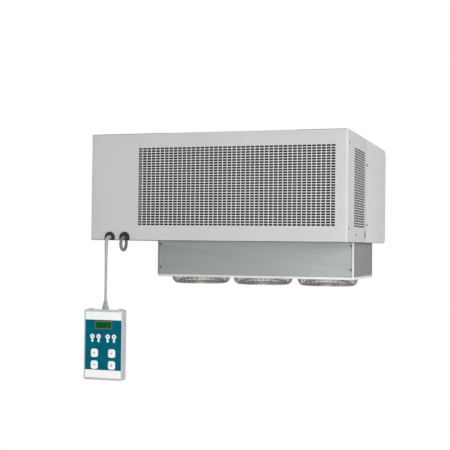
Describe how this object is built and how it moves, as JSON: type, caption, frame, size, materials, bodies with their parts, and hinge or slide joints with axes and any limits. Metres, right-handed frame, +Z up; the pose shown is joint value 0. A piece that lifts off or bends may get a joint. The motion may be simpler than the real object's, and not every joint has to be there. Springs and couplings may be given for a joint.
{
  "type": "monoblock refrigeration unit",
  "caption": "Ceiling-mounted monoblock refrigeration unit: slotted casing above, insulated evaporator box with guarded fans below, and a handset hanging on its control cord.",
  "frame": {"origin": "centre of the casing's base plate, on its underside, which rests on the cold room's ceiling panel", "axes": "+X to the right of a viewer who faces the front panel, +Y from the front panel to the rear cover, +Z up; the evaporator box hangs below the origin"},
  "size_m": [1.0044, 0.9175, 0.93],
  "materials": {
    "casing_paint": "satin",
    "zinc_sheet": "matte",
    "box_paint": "satin",
    "tray_plastic": "satin",
    "screws": "satin",
    "black_rubber": "matte",
    "dark_plastic": "matte",
    "pale_plastic": "matte",
    "supply_sheath": "matte",
    "control_sheath": "matte",
    "circuit_board": "satin",
    "fins": "matte",
    "copper": "satin",
    "black_paint": "satin",
    "fan_metal": "satin",
    "drier_shell": "satin",
    "brass": "satin",
    "insulation": "matte",
    "heater_steel": "satin",
    "guard_wire": "satin",
    "relief_plastic": "matte",
    "handset_shell": "satin",
    "handset_overlay": "satin",
    "display_window": "gloss",
    "white_print": "satin",
    "white_key": "satin"
  },
  "bodies": {
    "unit": {"base_plate": "zinc_sheet", "front_panel": "casing_paint", "right_side_panel": "casing_paint", "left_side_panel": "casing_paint", "top_panel": "casing_paint", "rear_cover": "casing_paint", "corner_posts": "zinc_sheet", "seam_frame": "zinc_sheet", "panel_screws": "screws", "control_grommet": "black_rubber", "supply_grommet": "black_rubber", "supply_cord_clip": "dark_plastic", "supply_cord": "supply_sheath", "electrical_box": "zinc_sheet", "electrical_box_lid": "zinc_sheet", "contactor": "dark_plastic", "terminal_block": "pale_plastic", "power_board": "circuit_board", "condenser_fins": "fins", "condenser_tubes": "copper", "coil_end_plates": "zinc_sheet", "fan_shroud": "zinc_sheet", "motor_brackets": "zinc_sheet", "condenser_motors": "black_paint", "compressor": "black_paint", "compressor_terminal_cover": "dark_plastic", "compressor_mounts": "black_rubber", "liquid_receiver": "black_paint", "filter_drier": "drier_shell", "expansion_valve": "brass", "discharge_line": "copper", "liquid_line": "copper", "suction_line": "copper", "insulated_plug": "insulation", "box_front_wall": "box_paint", "box_side_walls": "box_paint", "box_rear_grille": "box_paint", "fan_tray": "tray_plastic", "evaporator_fins": "fins", "evaporator_tubes": "copper", "defrost_heater": "heater_steel", "evaporator_motors": "black_paint", "fan_guards": "guard_wire"},
    "left_condenser_fan": {"left_condenser_fan": "fan_metal"},
    "right_condenser_fan": {"right_condenser_fan": "fan_metal"},
    "left_evaporator_fan": {"left_evaporator_fan": "fan_metal"},
    "middle_evaporator_fan": {"middle_evaporator_fan": "fan_metal"},
    "right_evaporator_fan": {"right_evaporator_fan": "fan_metal"},
    "handset": {"control_cord": "control_sheath", "strain_relief": "relief_plastic", "remote_back_shell": "handset_shell", "remote_front_shell": "handset_shell", "remote_overlay": "handset_overlay", "remote_display": "display_window", "remote_indicators": "white_print", "remote_board": "circuit_board"},
    "upper_left_key": {"upper_left_key": "white_key"},
    "upper_right_key": {"upper_right_key": "white_key"},
    "lower_left_key": {"lower_left_key": "white_key"},
    "lower_right_key": {"lower_right_key": "white_key"}
  },
  "joints": [
    {"name": "left_condenser_fan_spin", "type": "hinge", "parent": "unit", "child": "left_condenser_fan", "pos_m": [-0.10675, -0.351, 0.20225], "axis": [0, 1, 0], "continuous": true},
    {"name": "right_condenser_fan_spin", "type": "hinge", "parent": "unit", "child": "right_condenser_fan", "pos_m": [0.25775, -0.351, 0.20225], "axis": [0, 1, 0], "continuous": true},
    {"name": "left_evaporator_fan_spin", "type": "hinge", "parent": "unit", "child": "left_evaporator_fan", "pos_m": [-0.17967, -0.07, -0.139], "axis": [0, 0, 1], "continuous": true},
    {"name": "middle_evaporator_fan_spin", "type": "hinge", "parent": "unit", "child": "middle_evaporator_fan", "pos_m": [0.085, -0.07, -0.139], "axis": [0, 0, 1], "continuous": true},
    {"name": "right_evaporator_fan_spin", "type": "hinge", "parent": "unit", "child": "right_evaporator_fan", "pos_m": [0.34967, -0.07, -0.139], "axis": [0, 0, 1], "continuous": true},
    {"name": "handset_swing", "type": "hinge", "parent": "unit", "child": "handset", "pos_m": [-0.419, -0.435, 0.011], "axis": [0, 1, 0], "range_deg": [-30, 30]},
    {"name": "upper_left_key_press", "type": "slide", "parent": "handset", "child": "upper_left_key", "axis": [0, 1, 0], "range_m": [0, 0.001], "stiffness_N_per_m": 400},
    {"name": "upper_right_key_press", "type": "slide", "parent": "handset", "child": "upper_right_key", "axis": [0, 1, 0], "range_m": [0, 0.001], "stiffness_N_per_m": 400},
    {"name": "lower_left_key_press", "type": "slide", "parent": "handset", "child": "lower_left_key", "axis": [0, 1, 0], "range_m": [0, 0.001], "stiffness_N_per_m": 400},
    {"name": "lower_right_key_press", "type": "slide", "parent": "handset", "child": "lower_right_key", "axis": [0, 1, 0], "range_m": [0, 0.001], "stiffness_N_per_m": 400}
  ]
}
